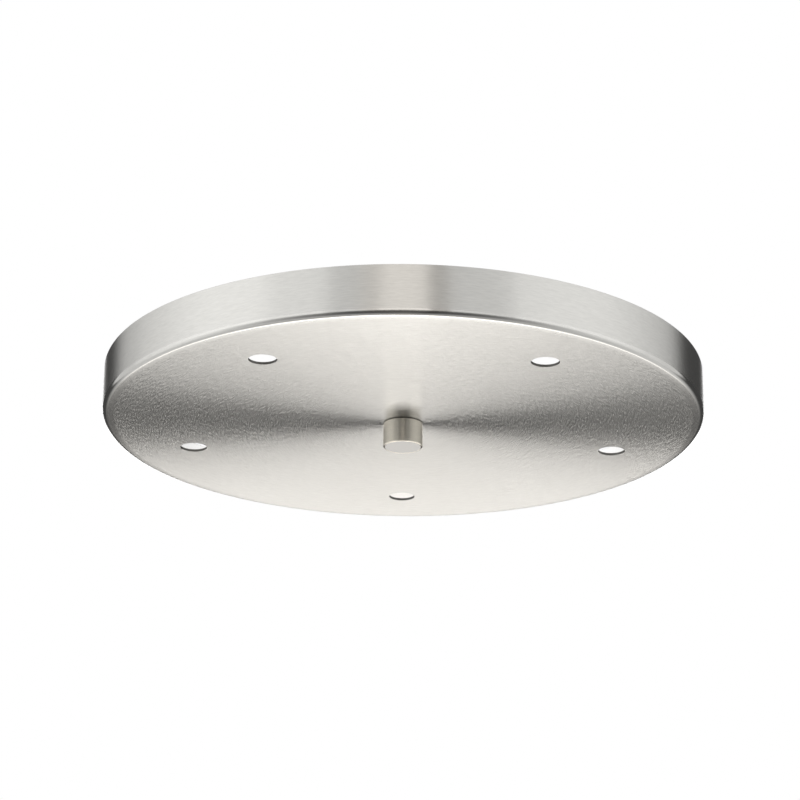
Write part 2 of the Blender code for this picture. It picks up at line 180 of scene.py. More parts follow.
class HardwareSizes(bpy.types.PropertyGroup):
    """Sizes of the crossbar, nuts, washers and screws that aren't read from the frame."""

    rod_bore: length("Rod bore", "Radius of the hollow rod's bore", 3.3 * MM)
    rod_chamfer: length("Rod chamfer", "Broken edges of the hollow rod", 0.5 * MM)
    nut_flats: length("Nut across flats", "Width of the rod's nuts", 14.3 * MM)
    tooth_count: IntProperty(name="Teeth", description="Teeth of the lock washer", default=10, min=3, max=30)
    tooth_depth: length("Tooth depth", "Length of the lock washer's teeth", 0.9 * MM)
    tooth_rounding: length("Washer edge", "Broken edges of the lock washer's ring", 0.08 * MM)
    tooth_twist: length("Tooth twist", "How far a tooth's corners stand out of the ring", 0.16 * MM)
    strap_corner: length("Strap corner", "Radius of the crossbar's corners", 5.0 * MM)
    strap_rounding: length("Strap edge", "Rounding of the crossbar's edges", 0.22 * MM)
    slot_inner: length("Slot start", "Middle of a slot's inner end, from the axis", 34.925 * MM)
    slot_outer: length("Slot end", "Middle of a slot's outer end, from the axis", 44.45 * MM)
    slot_radius: length("Slot radius", "Half the width of a slot", 2.35 * MM)
    earth_offset: length("Earth hole offset", "From the axis to each tapped hole", 20.5 * MM)
    earth_radius: length("Earth hole radius", "Radius of each tapped hole", 2.7 * MM)
    box_shank: length("Box screw radius", "Radius of a box screw's thread", 2.05 * MM)
    box_head: length("Box head radius", "Radius of a box screw's head", 4.0 * MM)
    box_head_height: length("Box head height", "Height of a box screw's domed head", 2.7 * MM)
    earth_shank: length("Earth screw radius", "Radius of the earth screw's thread", 2.4 * MM)
    earth_flats: length("Earth head across flats", "Width of the earth screw's head", 7.9 * MM)
    earth_head_height: length("Earth head height", "Height of the earth screw's head", 2.8 * MM)
    tip_chamfer: length("Tip chamfer", "Broken edge at a screw's tip", 0.5 * MM)
    slot_width: length("Driver slot width", "Width of a screwdriver slot", 1.1 * MM)
    slot_depth: length("Driver slot depth", "Depth of a screwdriver slot", 1.2 * MM)
    cup_sheet: length("Cup washer sheet", "Thickness of the cup washer", 0.6 * MM)
    cup_rounding: length("Cup washer rounding", "Rounding of the cup washer's corners", 0.1 * MM)


class Finishes(bpy.types.PropertyGroup):
    """Colours and roughness of the pieces, with painted light and shade on the pan and the knob."""

    nickel: colour("Nickel", "Brushed nickel, in linear light", (0.631, 0.624, 0.598))
    nickel_roughness: share("Nickel roughness", "Mean roughness of the brushed nickel", 0.281)
    nickel_contrast: share("Nickel contrast", "How far the brush lines change the pan's tone", 0.14)
    nickel_anisotropy: share("Nickel anisotropy", "How far the brushing draws highlights out", 1.0)
    bend_roughness: share("Bend roughness", "Roughness of the bend, which the drawing die has smoothed", 0.14)
    # Painted highlight: the bend's colour is made lighter to show the bright band of light on it.
    bend_painted_highlight: share("Bend tone", "Brightness of the bend", 1.12, 1.25)
    ease_roughness: share("Ease roughness", "Roughness of the ring beside the bend", 0.275)
    # Painted shade and light: the face's colour goes from darker in the middle, near the knob, to lighter at
    # the rim.
    middle_painted_shade: share("Middle tone", "Brightness of the face's middle, as a share of the nickel", 0.80)
    rim_painted_light: share("Rim tone", "Brightness of the face at its rim", 1.09, 1.25)
    # Painted light: the wall's colour is made lighter than the face.
    wall_painted_light: share("Wall tone", "Brightness of the wall", 1.10, 1.25)
    brush_length: length("Brush stroke", "Length of a fine brush line", 4.5 * MM)
    brush_pitch: length("Brush pitch", "Distance from one fine brush line to the next", 0.6 * MM)
    brush_depth: length("Brush depth", "Height of the brush lines where their relief is 1", 0.23 * MM)
    middle_relief: share("Middle relief", "Relief of the brush lines in the face's middle", 1.08, 2.0)
    rim_relief: share("Rim relief", "Relief of the brush lines at the face's rim", 0.63, 2.0)
    ease_relief: share("Ease relief", "Share of the face's relief that the ring beside the bend has", 0.35)
    wall_relief: share("Wall relief", "Relief of the brush lines on the wall", 0.2)
    # Painted light: the knob's nickel is a lighter, warmer copy of the pan's nickel, to make the knob's side
    # look brightly lit.
    knob_nickel_painted_light: colour("Knob's nickel", "Turned and brushed side of the knob", (0.960, 0.910, 0.800))
    knob_roughness: share("Knob roughness", "Roughness of the knob's side", 0.218)
    knob_contrast: share("Knob contrast", "How far the brush lines change the knob's tone", 0.12)
    knob_relief: share("Knob relief", "Relief of the brush lines on the knob's side", 0.15)
    knob_face: colour("Knob's face", "Flat face of the knob, turned and satin", (0.67, 0.66, 0.64))
    # The inside's colour is lighter than the nickel outside: partly a bright plain plate, partly painted
    # light, so that the inside seen through a port looks white.
    inside: colour("Inside of the pan", "Plain plated sheet inside the pan", (0.93, 0.925, 0.91))
    # The punched edge's dark colour is partly a dull cut edge and partly painted shade in the ports.
    cut_edge_painted_shade: colour("Punched edge", "Sheet's edge in a port", (0.15, 0.145, 0.135))
    zinc: colour("Zinc plate", "Bright zinc plate of the hardware", (0.60, 0.615, 0.62))
    earth_green: colour("Earth green", "Green plate of the earth screw", (0.035, 0.25, 0.085))
    fibre: colour("Fibre", "Grey fibre of the knob's washer", (0.16, 0.15, 0.14))


class StudioSettings(bpy.types.PropertyGroup):
    """Camera, light and floor."""

    distance: length("Camera distance", "From the axis at the ceiling to the camera", 1343.0 * MM)
    below: angle("Camera below", "How far below the horizon of the canopy the camera stands", 20.66)
    turned: angle("Camera turned", "Turn of the camera round the axis", -0.159)
    roll: angle("Camera roll", "Turn of the picture in its own plane", 0.461)
    aim_down: angle("Aim down", "How far under the axis the camera aims", 0.411)
    aim_left: angle("Aim left", "How far beside the axis the camera aims", 0.074)
    focal_share: FloatProperty(
        name="Focal share", description="Focal length over the width of the picture", default=3.275, min=0.1
    )
    floor_level: length("Floor", "How far the floor lies under the ceiling", 2.5)
    floor_radius: length("Floor radius", "Radius of the round floor", 9.0)
    floor_colour: colour("Floor colour", "Pale floor", (0.84, 0.84, 0.83))
    horizon_colour: colour("Horizon", "Backdrop's tone where it meets the floor", (0.73, 0.73, 0.72))


class Wire:
    """The value of one shader socket. An expression on wires adds the Math nodes that work it out."""

    def __init__(self, tree, socket=None):
        self.tree = tree
        self.socket = socket

    def node(self, kind, settings=None, sockets=None):
        """Add a node: its settings are set first, then its sockets are linked to wires or filled."""
        made = self.tree.nodes.new(kind)
        for key, value in (settings or {}).items():
            setattr(made, key, value)
        for key, value in (sockets or {}).items():
            if isinstance(key, int):
                target = made.inputs[key]
            else:
                target = next(entry for entry in made.inputs if entry.enabled and entry.name == key)
            if isinstance(value, Wire):
                self.tree.links.new(value.socket, target)
            else:
                target.default_value = value
        return Wire(self.tree, next((entry for entry in made.outputs if entry.enabled), None))

    def out(self, name):
        """Another output of the same node."""
        return Wire(self.tree, self.socket.node.outputs[name])

    def math(self, operation, *values):
        """A Math node of up to three values."""
        return self.node("ShaderNodeMath", {"operation": operation}, dict(enumerate(values)))

    def __add__(self, other):
        return self.math("ADD", self, other)

    def __sub__(self, other):
        return self.math("SUBTRACT", self, other)

    def __rsub__(self, other):
        return self.math("SUBTRACT", other, self)

    def __mul__(self, other):
        return self.math("MULTIPLY", self, other)

    def __truediv__(self, other):
        return self.math("DIVIDE", self, other)

    def __pow__(self, other):
        return self.math("POWER", self, other)

    def step(self, low, high):
        """Smooth rise from 0 where this value is low to 1 where it is high."""
        ends = {"Value": self, "From Min": low, "From Max": high}
        return self.node("ShaderNodeMapRange", {"interpolation_type": "SMOOTHSTEP"}, ends)

    def tint(self, first, second):
        """A colour that goes from the first to the second as this value goes from 0 to 1."""
        colours = {"Factor": self, "A": (*first, 1.0), "B": (*second, 1.0)}
        return self.node("ShaderNodeMix", {"data_type": "RGBA"}, colours)


def grid_quads(rows, columns, wrap):
    """Corner numbers of a grid's quads, row by row. A wrapped grid joins its last column to its first."""
    row = np.arange(rows - 1)[:, None] * columns
    column = np.arange(columns if wrap else columns - 1)[None, :]
    after = (column + 1) % columns
    corners = (row + column, row + after, row + columns + after, row + columns + column)
    return np.stack(corners, axis=-1).reshape(-1, 4)


def surface(grid, wrap=True, slot=0, keep=None):
    """One gridded sheet of points, with its material number and a mask of the quads that are kept."""
    quads = grid_quads(grid.shape[0], grid.shape[1], wrap)
    if keep is not None:
        quads = quads[keep.ravel()]
    return grid.reshape(-1, 3), quads, np.full(len(quads), slot)


def make_piece(name, surfaces, body, nodes, finishes):
    """Weld surfaces into one smooth piece that rides on a body and stands for its packed nodes.

    Finishes are the names of its materials, in the order of the surfaces' material numbers.
    """
    starts = np.cumsum([0] + [len(points) for points, _, _ in surfaces])
    points = np.concatenate([points for points, _, _ in surfaces])
    quads = np.concatenate([quads + start for (_, quads, _), start in zip(surfaces, starts)])
    mesh = bpy.data.meshes.new(name)
    mesh.from_pydata(points.tolist(), [], quads.tolist())
    mesh.polygons.foreach_set("material_index", np.concatenate([entry[2] for entry in surfaces]))
    form = bmesh.new()
    form.from_mesh(mesh)
    bmesh.ops.remove_doubles(form, verts=form.verts, dist=WELD_DISTANCE)
    bmesh.ops.dissolve_degenerate(form, edges=form.edges, dist=WELD_DISTANCE)
    bmesh.ops.recalc_face_normals(form, faces=form.faces)
    form.to_mesh(mesh)
    form.free()
    mesh.shade_smooth()
    mesh.set_sharp_from_angle(angle=CREASE_ANGLE)
    for finish in finishes:
        mesh.materials.append(finish_named(finish))
    piece = bpy.data.objects.new(name, mesh)
    bpy.context.scene.collection.objects.link(piece)
    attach(piece, body)
    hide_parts(*nodes)
    return piece


def even_normals(piece):
    """Let large faces lead the shading, so that narrow roundings don't bend the light on flats."""
    shading = piece.modifiers.new("even_normals", "WEIGHTED_NORMAL")
    shading.keep_sharp = True


def around(columns, start=0.0):
    """Evenly spaced angles, once round."""
    return start + np.arange(columns) * math.tau / columns


def arc(centre, radius, start, end, steps):
    """Points of an arc: the centre plus the radius times the cosine and the sine of the angle."""
    angles = np.linspace(start, end, steps + 1)
    return np.column_stack([centre[0] + radius * np.cos(angles), centre[1] + radius * np.sin(angles)])


def rounded(corners):
    """A profile whose corners are (radius, height, rounding), each rounding replaced by its arc.

    The arc's middle lies on the corner's bisector, and its points turn evenly from the one tangent
    point to the other.
    """
    places = np.array(corners)[:, :2]
    points = []
    for number, (radius, height, rounding) in enumerate(corners):
        if rounding <= 0.0:
            points.append([(radius, height)])
            continue
        place = places[number]
        before = places[number - 1] - place
        after = places[(number + 1) % len(corners)] - place
        before /= np.linalg.norm(before)
        after /= np.linalg.norm(after)
        half = math.acos(np.clip(before @ after, -1.0, 1.0)) / 2
        bisector = (before + after) / np.linalg.norm(before + after)
        middle = place + bisector * rounding / math.sin(half)
        first = place + before * rounding / math.tan(half) - middle
        last = place + after * rounding / math.tan(half) - middle
        turn = math.pi - 2 * half
        shares = np.linspace(0.0, 1.0, ROUNDING_STEPS + 1)[:, None]
        swept = (np.sin((1 - shares) * turn) * first + np.sin(shares * turn) * last) / math.sin(turn)
        points.append(middle + swept)
    return np.concatenate(points)


def turned(radius, height, angles):
    """Points of a turned form: x is radius times cosine, y is radius times sine, z is the height.

    Radius and height are arrays of rows by one, or of rows by angles where they change on the way round.
    """
    flat = np.broadcast_arrays(radius * np.cos(angles), radius * np.sin(angles), height + 0.0 * angles)
    return np.stack(flat, axis=-1)


def turned_profile(profile, angles):
    """A profile of (radius, height) points turned round Z."""
    return turned(profile[:, :1], profile[:, 1:], angles)


def stacked(*blocks):
    """Rows of (radius, height) blocks put one under the other, each as wide as the widest.

    A radius or height is a number, a row of values round the axis, or rows of such values.
    """
    blocks = [np.broadcast_arrays(*map(np.atleast_2d, block)) for block in blocks]
    columns = max(radius.shape[-1] for radius, _ in blocks)
    wide = [[np.broadcast_to(part, (len(part), columns)) for part in block] for block in blocks]
    return tuple(np.concatenate(parts) for parts in zip(*wide))


def threaded(radius, depth, levels, angles, pitch):
    """Radius of a right-hand thread, from its crest's radius and its depth down to the root.

    Its height is a triangle wave of the level over the pitch less the turn. The wave goes past crest
    and root by THREAD_OVERSHOOT and is cut off there, which leaves narrow flats.
    """
    phase = (levels / pitch - angles / math.tau) % 1.0
    wave = np.abs(2.0 * phase - 1.0) * (1.0 + 2 * THREAD_OVERSHOOT) - THREAD_OVERSHOOT
    return radius - depth * (1.0 - np.clip(wave, 0.0, 1.0))


def thread_levels(bottom, top, pitch, rows_per_pitch=THREAD_ROWS):
    """Levels of a thread's rows."""
    return np.linspace(bottom, top, int((top - bottom) / pitch * rows_per_pitch) + 2)[:, None]


def face_level(sizes, radius):
    """Level of the face's outside at a radius.

    Inside the ease it is the dish of a round plate held at its edge and pulled up in its middle:
    1 - s^2 + 2 s^2 ln s, with s the share of the radius. In the ease it is a parabola.
    """
    flat_radius, _, rise, _ = bend_places(sizes)
    part = np.maximum(radius, WELD_DISTANCE) / flat_radius
    dish = sizes.dish * (1.0 - part**2 + 2.0 * part**2 * np.log(part))
    ease = rise * ((radius - flat_radius) / sizes.ease_width) ** 2
    return -sizes.depth + np.where(radius < flat_radius, dish, ease)


def bend_places(sizes):
    """Radius where the ease starts, radius of the bend's middle, rise of the ease, level of the middle."""
    centre = sizes.radius - sizes.bend_radius
    flat_radius = centre + sizes.bend_radius * math.sin(sizes.ease_slope) - sizes.ease_width
    rise = sizes.ease_width * math.tan(sizes.ease_slope) / 2
    level = -sizes.depth + rise + sizes.bend_radius * math.cos(sizes.ease_slope)
    return flat_radius, centre, rise, level


def port_band(sizes):
    """Inner and outer radius of the ring of the face in which the ports' windows lie."""
    middle = sizes.radius - sizes.port_inset
    half = middle * math.tau / sizes.columns * WINDOW_COLUMNS / 2
    return middle - half, middle + half


def face_rings(sizes):
    """Radii of the face's rings, from the centre hole to the ease, closest in the ports' band."""
    inner, outer = port_band(sizes)
    hole = sizes.hole_radius + sizes.punch_rounding
    parts = [
        np.linspace(hole, inner, INNER_RINGS + 1)[:-1],
        np.linspace(inner, outer, BAND_STEPS + 1)[:-1],
        np.linspace(outer, bend_places(sizes)[0], OUTER_RINGS + 1),
    ]
    return np.concatenate(parts)


def wall_profile(sizes):
    """Profile from the ease out, round the bend, up the wall, over the rim and back inside."""
    flat_radius, centre, _, level = bend_places(sizes)
    bend_start = -math.pi / 2 + sizes.ease_slope
    inner_bend = sizes.bend_radius - sizes.sheet
    bend_edge = centre + sizes.bend_radius * math.sin(sizes.ease_slope)
    inner_edge = centre + inner_bend * math.sin(sizes.ease_slope)
    ease_out = np.linspace(flat_radius, bend_edge, EASE_STEPS + 1)
    ease_in = np.linspace(inner_edge, flat_radius, EASE_STEPS + 1)
    rim = sizes.rim_rounding
    inner_wall = sizes.radius - sizes.sheet
    wall = np.linspace(level, -rim, WALL_STEPS + 1)[1:-1]
    outside = [
        np.column_stack([ease_out, face_level(sizes, ease_out)])[:-1],
        arc((centre, level), sizes.bend_radius, bend_start, 0.0, BEND_STEPS),
        np.column_stack([np.full_like(wall, sizes.radius), wall]),
        arc((sizes.radius - rim, -rim), rim, 0.0, math.pi / 2, RIM_STEPS),
    ]
    inside = [
        arc((inner_wall + rim, -rim), rim, math.pi / 2, math.pi, RIM_STEPS),
        np.column_stack([np.full_like(wall, inner_wall), wall[::-1]]),
        arc((centre, level), inner_bend, 0.0, bend_start, INNER_BEND_STEPS),
        np.column_stack([ease_in, face_level(sizes, ease_in) + sizes.sheet])[1:],
    ]
    return np.concatenate(outside), np.concatenate(inside)


def hole_profile(sizes):
    """Profile through the sheet at a hole: how far outside the hole's radius, how far above the face."""
    outer, inner = sizes.punch_rounding, sizes.burr_rounding
    lip = arc((outer, outer), outer, -math.pi / 2, -math.pi, LIP_STEPS)
    bore = np.array([[0.0, outer], [0.0, sizes.sheet - inner]])
    burr = arc((inner, sizes.sheet - inner), inner, math.pi, math.pi / 2, BURR_STEPS)
    return lip, bore, burr


def port_surfaces(sizes, port):
    """The window of one port: a round hole in the face, blended out to the face's own grid.

    A point is the hole's point in a direction plus a share of the way to the window's edge in the same
    direction, at the face's own level. The hole's wall follows the face's level as well.
    """
    middle = sizes.port_first + math.tau * port / sizes.port_count
    half = math.tau / sizes.columns * WINDOW_COLUMNS / 2
    inner, outer = port_band(sizes)
    sweep = np.linspace(middle - half, middle + half, WINDOW_COLUMNS + 1)
    reach = np.linspace(inner, outer, BAND_STEPS + 1)
    edge_radius = np.concatenate(
        [np.full(WINDOW_COLUMNS, inner), reach[:-1], np.full(WINDOW_COLUMNS, outer), reach[:0:-1]]
    )
    edge_angle = np.concatenate(
        [sweep[:-1], np.full(BAND_STEPS, sweep[-1]), sweep[:0:-1], np.full(BAND_STEPS, sweep[0])]
    )
    edge = np.stack([edge_radius * np.cos(edge_angle), edge_radius * np.sin(edge_angle)], axis=-1)
    centre = (sizes.radius - sizes.port_inset) * np.array([math.cos(middle), math.sin(middle)])
    outward = (edge - centre) / np.linalg.norm(edge - centre, axis=-1, keepdims=True)

    def at(flat, lift):
        level = face_level(sizes, np.linalg.norm(flat, axis=-1)) + lift
        return np.concatenate([flat, level[..., None]], axis=-1)

    def blended(rounding, lift):
        hole = centre + outward * (sizes.port_radius + rounding)
        shares = np.linspace(0.0, 1.0, WINDOW_STEPS + 1)[:, None, None] ** WINDOW_CROWDING
        return at(hole + shares * (edge - hole), lift)

    def walled(profile):
        flat = centre + outward * (sizes.port_radius + profile[:, 0][:, None, None])
        return at(flat, profile[:, 1][:, None])

    lip, bore, burr = (walled(profile) for profile in hole_profile(sizes))
    return [
        surface(blended(sizes.punch_rounding, 0.0), slot=OUTSIDE),
        surface(lip, slot=OUTSIDE),
        surface(bore, slot=PUNCHED),
        surface(burr, slot=INSIDE),
        surface(blended(sizes.burr_rounding, sizes.sheet), slot=INSIDE),
    ]


def pan_surfaces(sizes):
    """The pan: its wall and rim, both sides of its face with the ports' windows left out, its holes."""
    angles = around(sizes.columns, sizes.port_first)
    outside, inside = wall_profile(sizes)
    rings = face_rings(sizes)
    column = np.arange(sizes.columns) + 0.5
    spacing = sizes.columns / sizes.port_count
    from_port = np.abs((column + spacing / 2) % spacing - spacing / 2)
    keep = np.ones((len(rings) - 1, sizes.columns), bool)
    keep[INNER_RINGS : INNER_RINGS + BAND_STEPS, from_port < WINDOW_COLUMNS / 2] = False
    level = face_level(sizes, rings)
    lip, bore, burr = (profile + [sizes.hole_radius, 0.0] for profile in hole_profile(sizes))
    for profile in (lip, bore, burr):
        profile[:, 1] += face_level(sizes, profile[:, 0])
    inner_rings = rings.copy()
    inner_rings[0] = sizes.hole_radius + sizes.burr_rounding
    inner_level = face_level(sizes, inner_rings) + sizes.sheet
    surfaces = [
        surface(turned_profile(outside, angles), slot=OUTSIDE),
        surface(turned_profile(np.stack([outside[-1], inside[0]]), angles), slot=INSIDE),
        surface(turned_profile(inside, angles), slot=INSIDE),
        surface(turned(rings[:, None], level[:, None], angles), slot=OUTSIDE, keep=keep),
        surface(turned(inner_rings[:, None], inner_level[:, None], angles), slot=INSIDE, keep=keep),
        surface(turned_profile(lip, angles), slot=OUTSIDE),
        surface(turned_profile(bore, angles), slot=PUNCHED),
        surface(turned_profile(burr, angles), slot=INSIDE),
    ]
    for port in range(sizes.port_count):
        surfaces += port_surfaces(sizes, port)
    return surfaces


def knob_surfaces(sizes, threads):
    """The knob: a turned profile with broken edges, a counterbore and a threaded blind bore."""
    angles = around(KNOB_COLUMNS)
    bottom, top = knob_low.z, knob_high.z
    edge, rise, tiny = sizes.edge_width, sizes.edge_rise, sizes.edge_rounding
    seat = top - sizes.seat_depth
    floor = top - sizes.bore_depth
    crest = rod_high.x + threads.running_gap
    flat = sizes.radius - 2 * edge
    straight = 3 * edge
    outside = rounded(
        [
            (flat, bottom, 0.0),
            (sizes.radius - edge, bottom, tiny),
            (sizes.radius, bottom + rise, tiny),
            (sizes.radius, bottom + straight, 0.0),
            (sizes.radius, top - straight, 0.0),
            (sizes.radius, top - rise, tiny),
            (sizes.radius - edge, top, tiny),
            (sizes.seat_radius, top, tiny),
            (sizes.seat_radius, seat, 0.0),
            (crest + edge, seat, 0.0),
        ]
    )
    face = np.column_stack([np.linspace(0.0, flat, FACE_POINTS), np.full(FACE_POINTS, bottom)])
    levels = thread_levels(floor, seat, threads.rod_pitch)[::-1]
    bore = threaded(crest, threads.rod_depth, levels, angles, threads.rod_pitch)
    bore = np.maximum(bore, crest + edge - (seat - levels))
    grid = stacked((outside[:, :1], outside[:, 1:]), (bore, levels), (0.0, floor - sizes.point_depth))
    return [surface(turned_profile(face, angles), slot=KNOB_FACE), surface(turned(*grid, angles))]


def ring_surfaces(corners, columns, centre_x=0.0):
    """A turned ring with a closed profile of (radius, height, rounding) corners."""
    profile = rounded(corners)
    grid = turned_profile(np.concatenate([profile, profile[:1]]), around(columns))
    return [surface(grid + np.array([centre_x, 0.0, 0.0]))]


def rod_surfaces(sizes, threads):
    """The hollow rod: threaded outside from end to end, with a plain bore."""
    angles = around(ROD_COLUMNS)
    bottom, top, radius = rod_low.z, rod_high.z, rod_high.x
    levels = thread_levels(bottom, top, threads.rod_pitch)
    outside = threaded(radius, threads.rod_depth, levels, angles, threads.rod_pitch)
    from_end = np.minimum(levels - bottom, top - levels)
    outside = np.minimum(outside, radius - sizes.rod_chamfer + from_end)
    edge = sizes.rod_chamfer / 2
    grid = stacked(
        (outside, levels),
        (sizes.rod_bore + edge, top),
        (sizes.rod_bore, top - edge),
        (sizes.rod_bore, bottom + edge),
        (sizes.rod_bore + edge, bottom),
        (outside[:1], levels[:1]),
    )
    return [surface(turned(*grid, angles))]


def hexagon_radius(across_flats, angles, corner_turning):
    """Radius of a hexagon with flats towards +Y and -Y: half its flats over a cosine, corners turned off."""
    from_flat = angles % (math.pi / 3) - math.pi / 6
    corner = across_flats / math.sqrt(3.0)
    return np.minimum(across_flats / 2 / np.cos(from_flat), corner - corner_turning)


def nut_surfaces(node, sizes, threads):
    """A thin nut: hexagon sides, a cone turned on both faces, and a threaded bore with broken edges."""
    low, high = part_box(node)
    bottom, top = low.z, high.z
    angles = around(NUT_COLUMNS)
    flat = sizes.nut_flats / 2
    side = hexagon_radius(sizes.nut_flats, angles, NUT_CORNER_TURNING)
    crest = rod_high.x + threads.running_gap
    levels = thread_levels(bottom, top, threads.rod_pitch)
    bore = threaded(crest, threads.rod_depth, levels, angles, threads.rod_pitch)
    from_end = np.minimum(levels - bottom, top - levels)
    bore = np.maximum(bore, crest + sizes.rod_chamfer / 2 - from_end)
    face_edge = flat - NUT_CORNER_TURNING
    cone_start = flat + NUT_CORNER_TURNING / 2
    cone_drop = (cone_start - face_edge) * HEAD_CONE
    drop = (side - face_edge) * HEAD_CONE
    grid = stacked(
        (bore, levels),
        (face_edge, top),
        (np.minimum(cone_start, side), top - np.minimum(cone_drop, drop)),
        (side, top - drop),
        (side, bottom + drop),
        (np.minimum(cone_start, side), bottom + np.minimum(cone_drop, drop)),
        (face_edge, bottom),
        (bore[:1], levels[:1]),
    )
    return [surface(turned(*grid, angles))]


def toothed_surfaces(sizes, threads):
    """The lock washer: a flat ring with inner teeth, each one twisted a little out of the ring.

    A tooth's height is 0.5 plus TOOTH_STEEPNESS times the cosine of the angle from it, cut to 0 and 1.
    """
    angles = around(sizes.tooth_count * TOOTH_COLUMNS)
    outer, bottom, top = toothed_high.x, toothed_low.z, toothed_high.z
    tip = rod_high.x + threads.running_gap
    from_tooth = sizes.tooth_count * angles - math.pi / 2
    tooth = np.clip(0.5 + TOOTH_STEEPNESS * np.cos(from_tooth), 0.0, 1.0)
    inner = tip + sizes.tooth_depth * (1.0 - tooth)
    twist = sizes.tooth_twist * np.sin(from_tooth) * tooth
    root = tip + TOOTH_ROOT * sizes.tooth_depth
    edge = sizes.tooth_rounding
    grid = stacked(
        (outer - edge, bottom),
        (outer, bottom + edge),
        (outer, top - edge),
        (outer - edge, top),
        (root, top),
        (inner, top + twist),
        (inner, bottom + twist),
        (root, bottom),
        (outer - edge, bottom),
    )
    return [surface(turned(*grid, angles))]


def strap_surfaces(sizes, threads):
    """The crossbar's middle plane, as two halves ruled from the holes' edges to the outline.

    At each x, y goes from the half width of whatever hole lies there to the half width of the strap.
    """
    half_length, half_width = strap_high.x, strap_high.y
    corner = sizes.strap_corner
    reach = half_length - corner
    rod_hole = rod_high.x + threads.running_gap
    holes = [(0.0, 0.0, rod_hole)]
    for side in (-1.0, 1.0):
        holes.append((side * sizes.earth_offset, side * sizes.earth_offset, sizes.earth_radius))
        ends = sorted((side * sizes.slot_inner, side * sizes.slot_outer))
        holes.append((*ends, sizes.slot_radius))
    quarter = np.linspace(0.0, math.pi / 2, QUARTER_STEPS + 1)
    across = [side * (reach + corner * np.sin(quarter)) for side in (-1.0, 1.0)]
    for first, last, radius in holes:
        bulge = radius * np.cos(quarter)
        across += [first - bulge, np.linspace(first, last, SLOT_STEPS + 1), last + bulge]
    across.append(np.linspace(-reach, reach, STRAP_STEPS + 1))
    x = np.unique(np.round(np.concatenate(across), MICRON_PLACES))
    opening = np.zeros_like(x)
    for first, last, radius in holes:
        beside = x - np.clip(x, first, last)
        opening = np.maximum(opening, np.sqrt(np.clip(radius**2 - beside**2, 0.0, None)))
    beyond = np.clip(np.abs(x) - reach, 0.0, corner)
    outline = half_width - corner + np.sqrt(corner**2 - beyond**2)
    shares = np.linspace(0.0, 1.0, HALF_STRAP_STEPS + 1)[:, None]
    y = opening + shares * (outline - opening)
    level = np.full_like(y, (strap_low.z + strap_high.z) / 2)
    upper = np.stack([np.broadcast_to(x, y.shape), y, level], axis=-1)
    return [surface(upper, wrap=False), surface(upper * [1.0, -1.0, 1.0], wrap=False)]


def slot_columns(half_width, slot_half):
    """Values of y across a head, with the slot's two edges doubled, and a mask of those in the slot."""
    edge = math.asin(slot_half / half_width)
    side = half_width * np.sin(np.linspace(edge, math.pi / 2, HEAD_SIDE_POINTS))
    side[0] = slot_half
    middle = np.linspace(-slot_half, slot_half, HEAD_SLOT_POINTS)
    outside = np.zeros(HEAD_SIDE_POINTS, bool)
    in_slot = np.concatenate([outside, np.ones(HEAD_SLOT_POINTS, bool), outside])
    return np.concatenate([-side[::-1], middle, side]), in_slot


def screw_surfaces(head_reach, head_height, half_width, rise, shank, box, sizes, threads):
    """A slotted screw that points up in its box, with a head as high as rise.

    The head's face is ruled over x and y: its height comes from head_height, cut down to the slot's floor
    in the slot. Its edge runs up to the seat, in to the shank, and on as a thread to the tip.
    """
    low, high = box
    seat, tip = low.z + rise, high.z
    pitch = threads.screw_pitch
    y, in_slot = slot_columns(half_width, sizes.slot_width / 2)
    shares = np.linspace(-1.0, 1.0, HEAD_STEPS + 1)[:, None]
    x = shares * head_reach(y)
    y = np.broadcast_to(y, x.shape)
    height = head_height(x, y)
    height = np.where(in_slot, np.minimum(height, rise - sizes.slot_depth), height)
    face = np.stack([x, y, seat - height], axis=-1)
    loop = np.concatenate([face[-1, :-1], face[:0:-1, -1], face[0, :0:-1], face[:-1, 0]])
    seat_loop = loop * [1.0, 1.0, 0.0] + [0.0, 0.0, seat]
    angles = np.arctan2(loop[:, 1], loop[:, 0])
    levels = thread_levels(seat, tip, pitch, SCREW_THREAD_ROWS)
    radius = threaded(shank, threads.screw_depth, levels, angles, pitch)
    neck = np.clip((levels - seat) / pitch, 0.0, 1.0)
    radius = shank - (shank - radius) * neck
    radius = np.minimum(radius, shank - sizes.tip_chamfer + (tip - levels))
    stem = turned(*stacked((radius, levels), (0.0, tip)), angles)
    rows = np.concatenate([loop[None], seat_loop[None], stem])
    centre = np.array([(low.x + high.x) / 2, 0.0, 0.0])
    return [surface(face + centre, wrap=False), surface(rows + centre)]


def box_screw_surfaces(sizes, threads, node):
    """A round-head box screw: its dome is a cap of a sphere."""
    low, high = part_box(node)
    rise, radius = sizes.box_head_height, sizes.box_head
    ball = (radius**2 + rise**2) / (2 * rise)

    def reach(y):
        return np.sqrt(np.clip(radius**2 - y**2, 0.0, None))

    def height(x, y):
        return np.clip(np.sqrt(ball**2 - x**2 - y**2) - (ball - rise), 0.0, None)

    return screw_surfaces(reach, height, radius, rise, sizes.box_shank, (low, high), sizes, threads)


def earth_screw_surfaces(sizes, threads):
    """The hexagon-head earth screw, its head's corners turned to a cone."""
    flat, rise = sizes.earth_flats / 2, sizes.earth_head_height

    def reach(y):
        return sizes.earth_flats / math.sqrt(3.0) - np.abs(y) / math.sqrt(3.0)

    def height(x, y):
        return rise - np.clip(np.hypot(x, y) - flat, 0.0, None) * HEAD_CONE

    box = (earth_low, earth_high)
    return screw_surfaces(reach, height, flat, rise, sizes.earth_shank, box, sizes, threads)


# Width over which one zone of the pan's finish goes over into the next.
BLEND_WIDTH = 0.3 * MM
# Noise lies round NOISE_MIDDLE, and most of it between the two values of NOISE_RANGE.
NOISE_MIDDLE = 0.5
NOISE_RANGE = (0.3, 0.7)
